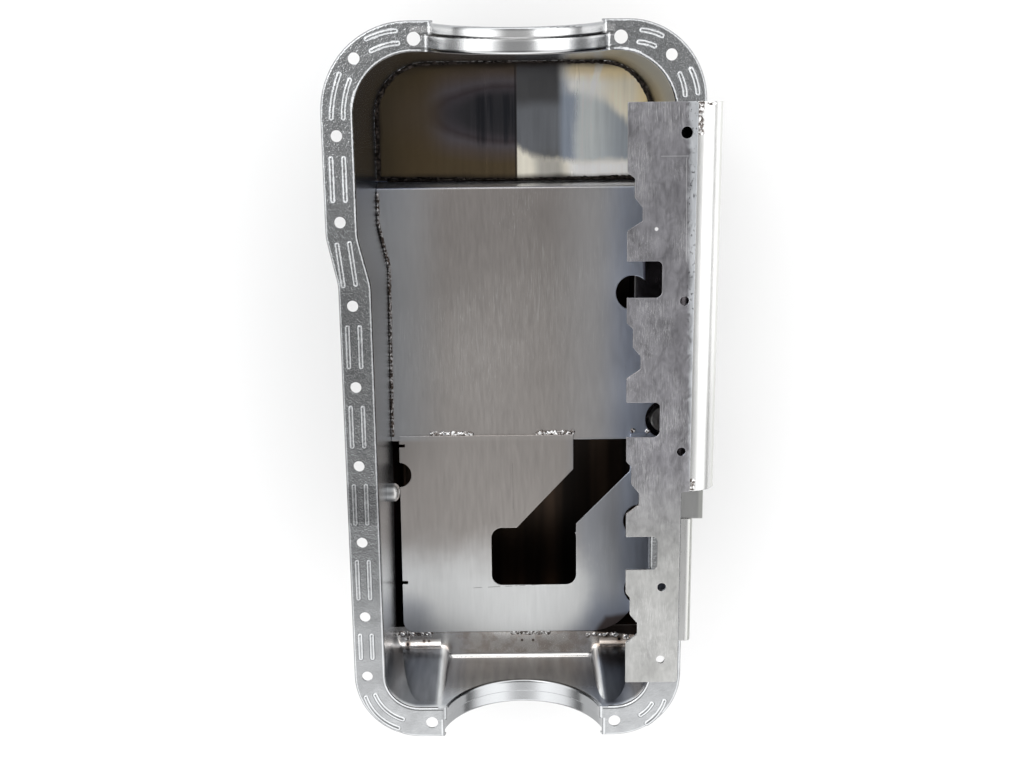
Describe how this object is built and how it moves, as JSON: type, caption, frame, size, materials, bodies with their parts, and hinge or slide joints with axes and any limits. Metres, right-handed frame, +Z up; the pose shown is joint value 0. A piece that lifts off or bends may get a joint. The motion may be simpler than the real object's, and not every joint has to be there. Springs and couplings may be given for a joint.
{
  "type": "engine oil pan",
  "caption": "Deep stamped and welded steel engine oil pan with front sump, side kick-out, windage trays and crank scraper.",
  "frame": {"origin": "middle of the four end bolts, on the gasket face of the rail", "axes": "+Z up into the engine block, +Y to the front of the engine, +X to the side with the kick-out"},
  "size_m": [0.3045, 0.578, 0.1925],
  "materials": {
    "zinc_plated_sheet": "plated pressed sheet, satin, brighter on bends",
    "heat_tinted_sheet": "polished sheet with straw, violet and blue heat tints",
    "tray_sheet": "rolled satin sheet",
    "scraper_plate": "laser-cut plate with fine scratches",
    "kickout_sheet": "rolled satin sheet",
    "sump_sheet": "rolled satin sheet",
    "turned_steel": "turned",
    "washer_alloy": "soft flat washer",
    "weld_metal": "weld beads, dark and uneven"
  },
  "bodies": {
    "root": {"pan_stamping": "zinc_plated_sheet", "front_floor_plate": "heat_tinted_sheet", "front_windage_tray": "tray_sheet", "rear_windage_tray": "tray_sheet", "crank_scraper": "scraper_plate", "kickout_shell": "kickout_sheet", "kickout_front_cap": "kickout_sheet", "kickout_rear_cap": "kickout_sheet", "kickout_seam_strip": "kickout_sheet", "step_box": "kickout_sheet", "side_pouch": "kickout_sheet", "sump_side_and_floor": "sump_sheet", "sump_front_wall": "sump_sheet", "sump_rear_wall": "sump_sheet", "sump_right_wall": "sump_sheet", "dipstick_boss": "turned_steel", "side_bung": "turned_steel", "side_bung_plug": "turned_steel", "side_bung_washer": "washer_alloy", "drain_bung": "turned_steel", "drain_plug": "turned_steel", "drain_washer": "washer_alloy", "floor_plate_weld": "weld_metal", "tray_side_weld": "weld_metal", "tray_tack_welds": "weld_metal", "kickout_tack_welds": "weld_metal"}
  },
  "joints": []
}
